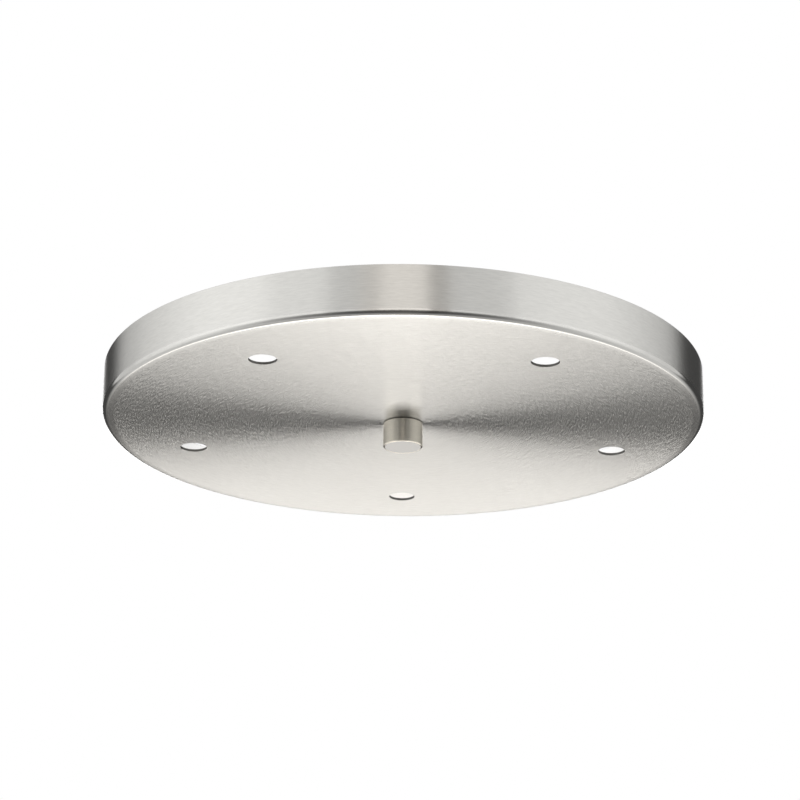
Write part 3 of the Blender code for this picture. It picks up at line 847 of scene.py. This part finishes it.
# Brush lines: the share of the fine ones, how much longer and wider the coarse ones are, and how far
# the lines change the roughness. BRIGHTEST is the most that a tone lightens the nickel.
FINE_SHARE = 0.75
COARSE_LENGTH = 2.0
COARSE_PITCH = 2.4
LINE_ROUGHNESS = 0.01
ACROSS_THE_LINES = 0.25
BRIGHTEST = 1.25
BLACK = (0.0, 0.0, 0.0)
# Plated finishes: the setting of the colour, the roughness, the size of the soft patches, how far
# they change the tone, and the strength of the fine grain. PATCH_SHARE is the patches' share of the
# noise, and PLATE_CHANGE is how far the noise changes the roughness.
PLATES = {
    "knob_face": ("knob_face", 0.52, 1.5 * MM, 0.02, 0.05),
    # The pan's inside: partly a bright plate, partly painted light.
    "pan_inside": ("inside", 0.18, 9.0 * MM, 0.02, 0.01),
    # The punched edge: partly a dull cut edge, partly painted shade.
    "punched_edge": ("cut_edge_painted_shade", 0.55, 1.0 * MM, 0.25, 0.3),
    "zinc_plate": ("zinc", 0.30, 2.5 * MM, 0.06, 0.05),
    "zinc_strap": ("zinc", 0.36, 6.0 * MM, 0.08, 0.05),
    "earth_green": ("earth_green", 0.34, 2.5 * MM, 0.06, 0.05),
}
PATCH_SHARE = 0.7
GRAINS_PER_PATCH = 12.0
GRAIN_DEPTH = 0.05 * MM
PLATE_CHANGE = 0.3
# Fibre: its mottles in a metre, how far they change tone and roughness, and the relief of its surface.
FIBRE_MOTTLES = 900.0
FIBRE_CHANGE = 0.2
FIBRE_ROUGHNESS = 0.8
FIBRE_RELIEF = 0.3
FIBRE_DEPTH = 0.1 * MM


def new_finish(name):
    """An empty material and the wire that adds nodes to it."""
    material = bpy.data.materials.new(name)
    material.use_nodes = True
    material.node_tree.nodes.clear()
    return material, Wire(material.node_tree)


def close_finish(canvas, sockets):
    """The metal or fibre shader that ends a material."""
    shader = canvas.node("ShaderNodeBsdfPrincipled", {}, sockets)
    canvas.node("ShaderNodeOutputMaterial", {}, {"Surface": shader})


def place(canvas):
    """The x, y and z of a point and its distance from the Z axis."""
    position = canvas.node("ShaderNodeTexCoord").out("Object")
    split = canvas.node("ShaderNodeSeparateXYZ", {}, {"Vector": position})
    x, y, z = split.out("X"), split.out("Y"), split.out("Z")
    return position, x, y, z, (x * x + y * y) ** 0.5


def noise(canvas, vector, scale, detail):
    """Noise from 0 to 1 at a vector."""
    return canvas.node("ShaderNodeTexNoise", {}, {"Vector": vector, "Scale": scale, "Detail": detail})


def bump(canvas, height, strength, depth):
    """The slope of a height that goes from 0 to 1 over a depth, at a strength."""
    return canvas.node("ShaderNodeBump", {}, {"Height": height, "Strength": strength, "Distance": depth})


def strokes(canvas, stroke, pitch, detail):
    """Brush lines round the axis: noise that is slow in x and y and fast in radius plus height."""
    _, x, y, z, radius = place(canvas)
    across = (radius + z) / pitch
    vector = canvas.node("ShaderNodeCombineXYZ", {}, {"X": x / stroke, "Y": y / stroke, "Z": across})
    return noise(canvas, vector, 1.0, detail)


def scaled(tone, factor):
    """A colour made lighter or darker."""
    return tuple(min(1.0, value * factor) for value in tone)


def mottled(value, tone, contrast):
    """A colour made darker where the noise is low and lighter where it is high."""
    return value.step(*NOISE_RANGE).tint(scaled(tone, 1.0 - contrast), scaled(tone, 1.0 + contrast))


def brushed(look, canvas, nickel, tone, roughness, contrast, relief):
    """Nickel brushed in circles: fine and coarse lines change its tone, roughness and slope a little.

    Tone is a wire or a number that lightens or darkens the nickel, up to BRIGHTEST: on the pan it is painted
    light and shade, on the knob it is 1. The lines go from
    -0.5 to 0.5, so twice the contrast changes the tone by the contrast either way. Relief is the
    strength of the slope.
    """
    stroke, pitch = look.brush_length, look.brush_pitch
    fine = strokes(canvas, stroke, pitch, detail=2.0)
    coarse = strokes(canvas, stroke * COARSE_LENGTH, pitch * COARSE_PITCH, detail=1.0)
    lines = fine * FINE_SHARE + coarse * (1.0 - FINE_SHARE) - NOISE_MIDDLE
    shade = (lines * (2.0 * contrast) + 1.0) * tone / BRIGHTEST
    sockets = {
        "Base Color": shade.tint(BLACK, tuple(BRIGHTEST * value for value in nickel)),
        "Roughness": lines * LINE_ROUGHNESS + roughness,
        "Metallic": 1.0,
        "Anisotropic": look.nickel_anisotropy,
        "Anisotropic Rotation": ACROSS_THE_LINES,
        "Normal": bump(canvas, fine, relief, look.brush_depth),
    }
    close_finish(canvas, sockets)


def pan_nickel(look, name):
    """The pan's outside: its face's colour is painted darker in the middle and lighter towards the rim, as
    painted shade and light, and its lines soften from the middle to the rim.

    The wall, the bend and the ease, the ring beside the bend, have a roughness and relief of their own, and
    the wall and the bend a lighter colour of their own: painted light on the wall and a painted highlight on
    the bend.
    """
    material, canvas = new_finish(name)
    sizes = bpy.context.scene.canopy_pan_sizes
    ease_start, centre, _, level = bend_places(sizes)
    _, _, _, height, radius = place(canvas)
    wall = height.step(level - BLEND_WIDTH / 2, level + BLEND_WIDTH / 2)
    bend = radius.step(centre, centre + BLEND_WIDTH) * (1.0 - wall)
    ease = radius.step(ease_start, ease_start + BLEND_WIDTH) * (1.0 - wall) - bend
    outward = radius / sizes.radius
    # Painted shade and light: the face's colour is darker in the middle and lighter towards the rim.
    face_painted_light_and_shade = outward * (look.rim_painted_light - look.middle_painted_shade) + look.middle_painted_shade
    # The wall's lighter colour is painted light, and the bend's is a painted highlight.
    tone = face_painted_light_and_shade * (1.0 - wall - bend) + wall * look.wall_painted_light + bend * look.bend_painted_highlight
    smoothing = bend * (look.nickel_roughness - look.bend_roughness)
    smoothing = ease * (look.nickel_roughness - look.ease_roughness) + smoothing
    roughness = look.nickel_roughness - smoothing
    face_relief = outward * (look.rim_relief - look.middle_relief) + look.middle_relief
    face_share = 1.0 - wall - bend - ease * (1.0 - look.ease_relief)
    relief = face_relief * face_share + wall * look.wall_relief
    brushed(look, canvas, look.nickel, tone, roughness, look.nickel_contrast, relief)
    return material


def knob_nickel_painted_light(look, name):
    """The knob's turned side: smoother than the pan, in a lighter, warmer copy of the nickel that is painted
    light.
    """
    material, canvas = new_finish(name)
    brushed(
        look, canvas, look.knob_nickel_painted_light, 1.0, look.knob_roughness, look.knob_contrast, look.knob_relief
    )
    return material


def plain_plate(look, name):
    """Plated metal: soft patches and fine grain change its tone, roughness and slope a little."""
    setting, roughness, patch, contrast, grain = PLATES[name]
    material, canvas = new_finish(name)
    position = place(canvas)[0]
    patches = noise(canvas, position, 1.0 / patch, detail=3.0)
    fine = noise(canvas, position, GRAINS_PER_PATCH / patch, detail=2.0)
    mixed = patches * PATCH_SHARE + fine * (1.0 - PATCH_SHARE)
    sockets = {
        "Base Color": mottled(mixed, getattr(look, setting), contrast),
        "Roughness": (mixed - NOISE_MIDDLE) * PLATE_CHANGE + roughness,
        "Metallic": 1.0,
        "Normal": bump(canvas, fine, grain, GRAIN_DEPTH),
    }
    close_finish(canvas, sockets)
    return material


def grey_fibre(look, name):
    """Pressed fibre: matt, mottled and slightly rough to the touch."""
    material, canvas = new_finish(name)
    mottle = noise(canvas, place(canvas)[0], FIBRE_MOTTLES, detail=4.0)
    sockets = {
        "Base Color": mottled(mottle, look.fibre, FIBRE_CHANGE),
        "Roughness": (mottle - NOISE_MIDDLE) * FIBRE_CHANGE + FIBRE_ROUGHNESS,
        "Normal": bump(canvas, mottle, FIBRE_RELIEF, FIBRE_DEPTH),
    }
    close_finish(canvas, sockets)
    return material


def finish_named(name):
    """A material of the canopy, made when it is first asked for."""
    others = {"nickel_pan": pan_nickel, "nickel_knob": knob_nickel_painted_light, "grey_fibre": grey_fibre}
    maker = others.get(name, plain_plate)
    return bpy.data.materials.get(name) or maker(bpy.context.scene.canopy_finishes, name)


class CANOPY_OT_pan(bpy.types.Operator):
    """Make the brushed sheet pan with its cord ports"""

    bl_idname = "canopy.pan"
    bl_label = "Pan"

    def execute(self, context):
        surfaces = pan_surfaces(context.scene.canopy_pan_sizes)
        finishes = ["nickel_pan", "pan_inside", "punched_edge"]
        pan = make_piece("pan_shell", surfaces, "canopy", ["canopy_pan"], finishes)
        even_normals(pan)
        return {"FINISHED"}


class CANOPY_OT_knob(bpy.types.Operator):
    """Make the turned knob"""

    bl_idname = "canopy.knob"
    bl_label = "Knob"

    def execute(self, context):
        scene = context.scene
        surfaces = knob_surfaces(scene.canopy_knob_sizes, scene.canopy_thread_sizes)
        finishes = ["nickel_knob", "knob_face"]
        knob = make_piece("knob_turned", surfaces, "knob", ["canopy_knob"], finishes)
        even_normals(knob)
        return {"FINISHED"}


class CANOPY_OT_fibre_washer(bpy.types.Operator):
    """Make the fibre washer in the knob's counterbore"""

    bl_idname = "canopy.fibre_washer"
    bl_label = "Fibre washer"

    def execute(self, context):
        rounding = context.scene.canopy_knob_sizes.washer_rounding
        bore = rod_high.x + context.scene.canopy_thread_sizes.running_gap
        corners = [
            (bore, fibre_low.z, rounding),
            (fibre_high.x, fibre_low.z, rounding),
            (fibre_high.x, fibre_high.z, rounding),
            (bore, fibre_high.z, rounding),
        ]
        surfaces = ring_surfaces(corners, WASHER_COLUMNS)
        make_piece("fibre_washer", surfaces, "canopy", ["knob_washer"], ["grey_fibre"])
        return {"FINISHED"}


class CANOPY_OT_rod(bpy.types.Operator):
    """Make the hollow threaded rod"""

    bl_idname = "canopy.rod"
    bl_label = "Hollow rod"

    def execute(self, context):
        scene = context.scene
        surfaces = rod_surfaces(scene.canopy_hardware_sizes, scene.canopy_thread_sizes)
        make_piece("hollow_rod", surfaces, "mounting", ["threaded_nipple"], ["zinc_plate"])
        return {"FINISHED"}


class CANOPY_OT_nuts(bpy.types.Operator):
    """Make the two nuts on the hollow rod"""

    bl_idname = "canopy.nuts"
    bl_label = "Rod nuts"

    def execute(self, context):
        scene = context.scene
        for name, node in (("nut_above_strap", "upper_locknut"), ("nut_below_strap", "lower_locknut")):
            surfaces = nut_surfaces(node, scene.canopy_hardware_sizes, scene.canopy_thread_sizes)
            make_piece(name, surfaces, "mounting", [node], ["zinc_plate"])
        return {"FINISHED"}


class CANOPY_OT_toothed_washer(bpy.types.Operator):
    """Make the toothed lock washer under the crossbar"""

    bl_idname = "canopy.toothed_washer"
    bl_label = "Toothed washer"

    def execute(self, context):
        scene = context.scene
        surfaces = toothed_surfaces(scene.canopy_hardware_sizes, scene.canopy_thread_sizes)
        make_piece("toothed_washer", surfaces, "mounting", ["lock_washer"], ["zinc_plate"])
        return {"FINISHED"}


class CANOPY_OT_crossbar(bpy.types.Operator):
    """Make the punched crossbar"""

    bl_idname = "canopy.crossbar"
    bl_label = "Crossbar"

    def execute(self, context):
        scene = context.scene
        sizes = scene.canopy_hardware_sizes
        surfaces = strap_surfaces(sizes, scene.canopy_thread_sizes)
        strap = make_piece(
            "crossbar_strap", surfaces, "mounting", ["mounting_crossbar"], ["zinc_strap"]
        )
        sheet = strap.modifiers.new("sheet", "SOLIDIFY")
        sheet.thickness = strap_high.z - strap_low.z
        sheet.offset = 0.0
        edges = strap.modifiers.new("edges", "BEVEL")
        edges.width = sizes.strap_rounding
        edges.segments = STRAP_EDGE_STEPS
        edges.limit_method = "ANGLE"
        edges.angle_limit = STRAP_EDGE_ANGLE
        edges.use_clamp_overlap = False
        even_normals(strap)
        return {"FINISHED"}


class CANOPY_OT_box_screws(bpy.types.Operator):
    """Make the two box screws"""

    bl_idname = "canopy.box_screws"
    bl_label = "Box screws"

    def execute(self, context):
        scene = context.scene
        for name, node in (("screw_left", "box_screw_left"), ("screw_right", "box_screw_right")):
            surfaces = box_screw_surfaces(scene.canopy_hardware_sizes, scene.canopy_thread_sizes, node)
            make_piece(name, surfaces, "mounting", [node], ["zinc_plate"])
        return {"FINISHED"}


class CANOPY_OT_earth_screw(bpy.types.Operator):
    """Make the green earth screw and its cupped washer"""

    bl_idname = "canopy.earth_screw"
    bl_label = "Earth screw"

    def execute(self, context):
        scene = context.scene
        sizes = scene.canopy_hardware_sizes
        surfaces = earth_screw_surfaces(sizes, scene.canopy_thread_sizes)
        make_piece("earth_screw", surfaces, "mounting", ["ground_screw"], ["earth_green"])
        centre = (cup_low.x + cup_high.x) / 2
        rim = cup_high.x - centre
        flat = (sizes.earth_radius + rim) / 2
        tiny = sizes.cup_rounding
        corners = [
            (sizes.earth_radius, cup_low.z, tiny),
            (flat, cup_low.z, 3 * tiny),
            (rim, cup_high.z - sizes.cup_sheet, tiny),
            (rim, cup_high.z, tiny),
            (flat, cup_low.z + sizes.cup_sheet, tiny),
            (sizes.earth_radius, cup_low.z + sizes.cup_sheet, tiny),
        ]
        cup = ring_surfaces(corners, CUP_COLUMNS, centre)
        make_piece("cup_washer", cup, "mounting", ["ground_cup_washer"], ["zinc_plate"])
        return {"FINISHED"}


# Bands of the walls: from and to in degrees round from the camera's side, positive towards +X, how
# soft the band's edges are, and how much brighter than the walls it is.
WALL_BANDS = {
    "bright_left": (-115.9, -52.3, 4.3, 0.17),
    "screen_left": (-28.3, -9.2, 1.5, -0.26),
    "slot_right": (9.2, 16.5, 1.2, -0.50),
    "screen_right": (16.5, 40.8, 1.5, -0.23),
    "bright_right": (52.3, 115.9, 4.3, 0.03),
}
# Other parts of the light, in degrees. TURN is from and to round from the camera's side, to either
# side, over which a part comes in. RIGHT and LEFT are the same with positive towards +X. FOOT and TOP
# are from and to above the horizon, and HEIGHT is from, to and how soft. LOSS is what is taken away.
WALL_LIGHT = 1.06
FAR_TURN, FAR_LOSS = (74.5, 117.4), 0.34
OPENING_RIGHT, OPENING_LEFT = (119.9, 128.0), (-137.5, -132.0)
OPENING_FOOT, OPENING_TOP, OPENING_LOSS = (-31.8, -12.0), (54.5, 58.5), 0.915
STREAK_TURN, STREAK_HEIGHT, STREAK_LIGHT = (160.6, 165.6), (1.5, 21.8, 3.0), 2.87
LOW_TURN, LOW_HEIGHT, LOW_LIGHT = (147.5, 208.3), (-53.2, -26.8, 2.0), 4.9
CORE_TURN, CORE_HEIGHT, CORE_LOSS = (164.7, 169.7), (-22.5, -17.5, 1.0), 0.5
# The middle of the dark side is this far below the horizon, and the dark fades over DARK_SPREAD from it.
DARK_BELOW = math.radians(47.9)
DARK_SPREAD, DARK_TOP, DARK_LOSS = (11.0, 88.0), (-19.0, -9.0), 0.90
# The light is warm on the camera's side and, by WARM_SHARE, low on the far side.
NEUTRAL_TURN = (12.0, 20.0)
WARM_TURN, WARM_TOP, WARM_SHARE = (148.0, 166.0), (-24.0, -10.0), 0.7
NEUTRAL = (1.0, 1.0, 1.0)
WARM = (1.035, 1.0, 0.965)
# The backdrop that the camera sees goes from the horizon's tone to white over these degrees.
BACKDROP_FADE = (-12.0, -2.0)
FLOOR_MOTTLES, FLOOR_CHANGE, FLOOR_ROUGHNESS = 2.0, 0.01, 0.9


def window(value, low, high, soft):
    """1 between low and high, 0 outside them, with soft edges."""
    return value.step(low - soft, low + soft) * (1.0 - value.step(high - soft, high + soft))


def light_direction(canvas):
    """Angles of a direction in degrees.

    They are round from the camera's side, the same without its sign, above the horizon, and away from
    the middle of the dark side.
    """
    direction = canvas.node("ShaderNodeTexCoord").out("Generated")
    split = canvas.node("ShaderNodeSeparateXYZ", {}, {"Vector": direction})
    x, y, z = split.out("X"), split.out("Y"), split.out("Z")
    to_degrees = 180.0 / math.pi
    side = canvas.math("ARCTAN2", x, y * -1.0) * to_degrees
    towards_dark = y * -math.cos(DARK_BELOW) - z * math.sin(DARK_BELOW)
    from_dark = canvas.math("ARCCOSINE", towards_dark) * to_degrees
    return side, canvas.math("ABSOLUTE", side), canvas.math("ARCSINE", z) * to_degrees, from_dark


def studio_light(canvas):
    """Brightness and colour of the studio by direction.

    Pale walls stand all round, darker away from the camera, with brighter and darker bands. The far
    side is a wide dark opening that fades out downward. In it stand a bright streak above the horizon
    and a strong warm light below it, with a dark core between them. Below the horizon the camera's
    side is dark.
    """
    side, turn, up, from_dark = light_direction(canvas)
    walls = WALL_LIGHT - turn.step(*FAR_TURN) * FAR_LOSS
    for low, high, soft, change in WALL_BANDS.values():
        walls = window(side, low, high, soft) * change + walls
    opening = (side.step(*OPENING_RIGHT) + 1.0 - side.step(*OPENING_LEFT)) * up.step(*OPENING_FOOT)
    opening = opening * (1.0 - up.step(*OPENING_TOP)) * OPENING_LOSS
    streak = turn.step(*STREAK_TURN) * window(up, *STREAK_HEIGHT) * STREAK_LIGHT
    low_light = turn.step(*LOW_TURN) * window(up, *LOW_HEIGHT) * LOW_LIGHT
    core = turn.step(*CORE_TURN) * window(up, *CORE_HEIGHT) * CORE_LOSS
    dark = (1.0 - from_dark.step(*DARK_SPREAD)) * (1.0 - up.step(*DARK_TOP)) * DARK_LOSS
    far_warmth = turn.step(*WARM_TURN) * (1.0 - up.step(*WARM_TOP)) * WARM_SHARE
    warmth = 1.0 - turn.step(*NEUTRAL_TURN) + far_warmth
    light = (walls * (1.0 - opening) * (1.0 - core) + streak + low_light) * (1.0 - dark)
    return light, warmth.tint(NEUTRAL, WARM)


class CANOPY_OT_studio(bpy.types.Operator):
    """Make the camera, the studio's light and the pale floor"""

    bl_idname = "canopy.studio"
    bl_label = "Studio"

    def execute(self, context):
        scene = context.scene
        studio = scene.canopy_studio_settings
        self.make_light(scene, studio)
        self.make_floor(scene, studio)
        self.make_camera(scene, studio)
        scene.view_settings.view_transform = "Standard"
        return {"FINISHED"}

    def make_light(self, scene, studio):
        """A world whose brightness goes by direction, and a plain white backdrop for the camera."""
        world = bpy.data.worlds.new("studio")
        scene.world = world
        world.use_nodes = True
        world.node_tree.nodes.clear()
        canvas = Wire(world.node_tree)
        strength, tint = studio_light(canvas)
        light = canvas.node("ShaderNodeBackground", {}, {"Color": tint, "Strength": strength})
        up = light_direction(canvas)[2]
        seen_tone = up.step(*BACKDROP_FADE).tint(studio.horizon_colour, NEUTRAL)
        backdrop = canvas.node("ShaderNodeBackground", {}, {"Color": seen_tone, "Strength": 1.0})
        seen = canvas.node("ShaderNodeLightPath").out("Is Camera Ray")
        mixed = canvas.node("ShaderNodeMixShader", {}, {0: seen, 1: light, 2: backdrop})
        canvas.node("ShaderNodeOutputWorld", {}, {"Surface": mixed})

    def make_floor(self, scene, studio):
        """A round floor far under the ceiling: radius times cosine and sine at one level."""
        radii = np.linspace(0.0, studio.floor_radius, FLOOR_RINGS + 1)[:, None]
        grid = turned(radii, np.full_like(radii, -studio.floor_level), around(FLOOR_COLUMNS))
        points, quads, _ = surface(grid)
        mesh = bpy.data.meshes.new("floor")
        mesh.from_pydata(points.tolist(), [], quads.tolist())
        material, canvas = new_finish("floor")
        mottle = noise(canvas, place(canvas)[0], FLOOR_MOTTLES, detail=3.0)
        tones = [scaled(studio.floor_colour, factor) for factor in (1.0 - FLOOR_CHANGE, 1.0 + FLOOR_CHANGE)]
        close_finish(canvas, {"Base Color": mottle.tint(*tones), "Roughness": FLOOR_ROUGHNESS})
        mesh.materials.append(material)
        floor = bpy.data.objects.new("floor", mesh)
        scene.collection.objects.link(floor)
        floor.visible_glossy = False
        floor.visible_diffuse = False

    def make_camera(self, scene, studio):
        """A camera below the canopy, aimed a little under and beside the axis."""
        lens = bpy.data.cameras.new("camera")
        lens.lens = lens.sensor_width * studio.focal_share
        camera = bpy.data.objects.new("camera", lens)
        scene.collection.objects.link(camera)
        back = Vector((0.0, -math.cos(studio.below), -math.sin(studio.below)))
        right = Vector((1.0, 0.0, 0.0))
        basis = Matrix((right, back.cross(right), back)).transposed().to_4x4()
        turned_round = Matrix.Rotation(studio.turned, 4, "Z")
        aim = Matrix.Rotation(studio.roll, 4, "Z") @ Matrix.Rotation(-studio.aim_down, 4, "X")
        aim = aim @ Matrix.Rotation(studio.aim_left, 4, "Y")
        camera.matrix_world = turned_round @ Matrix.Translation(back * studio.distance) @ basis @ aim
        scene.camera = camera


PIECE_OPERATORS = (
    CANOPY_OT_pan,
    CANOPY_OT_knob,
    CANOPY_OT_fibre_washer,
    CANOPY_OT_rod,
    CANOPY_OT_nuts,
    CANOPY_OT_toothed_washer,
    CANOPY_OT_crossbar,
    CANOPY_OT_box_screws,
    CANOPY_OT_earth_screw,
    CANOPY_OT_studio,
)
SETTINGS = {
    "canopy_pan_sizes": PanSizes,
    "canopy_knob_sizes": KnobSizes,
    "canopy_thread_sizes": ThreadSizes,
    "canopy_hardware_sizes": HardwareSizes,
    "canopy_finishes": Finishes,
    "canopy_studio_settings": StudioSettings,
}


class CANOPY_PT_sidebar(bpy.types.Panel):
    """The canopy's pieces and their sizes"""

    bl_label = "Ceiling canopy"
    bl_idname = "CANOPY_PT_sidebar"
    bl_space_type = "VIEW_3D"
    bl_region_type = "UI"
    bl_category = "Canopy"

    def draw(self, context):
        layout = self.layout
        for operator in PIECE_OPERATORS:
            layout.operator(operator.bl_idname)
        for setting, group in SETTINGS.items():
            column = layout.column(align=True)
            column.label(text=group.__doc__)
            for name in group.__annotations__:
                column.prop(getattr(context.scene, setting), name)


CLASSES = (*SETTINGS.values(), *PIECE_OPERATORS, CANOPY_PT_sidebar)


def register():
    """Make the classes known, and hang the settings on the scene."""
    for entry in CLASSES:
        bpy.utils.register_class(entry)
    for setting, group in SETTINGS.items():
        setattr(bpy.types.Scene, setting, PointerProperty(type=group))


def unregister():
    """Take back what register made."""
    for setting in SETTINGS:
        delattr(bpy.types.Scene, setting)
    for entry in reversed(CLASSES):
        bpy.utils.unregister_class(entry)


def main():
    """Make every piece and the studio."""
    register()
    bpy.ops.canopy.studio()
    bpy.ops.canopy.pan()
    bpy.ops.canopy.knob()
    bpy.ops.canopy.fibre_washer()
    bpy.ops.canopy.rod()
    bpy.ops.canopy.nuts()
    bpy.ops.canopy.toothed_washer()
    bpy.ops.canopy.crossbar()
    bpy.ops.canopy.box_screws()
    bpy.ops.canopy.earth_screw()


if __name__ == "__main__":
    main()
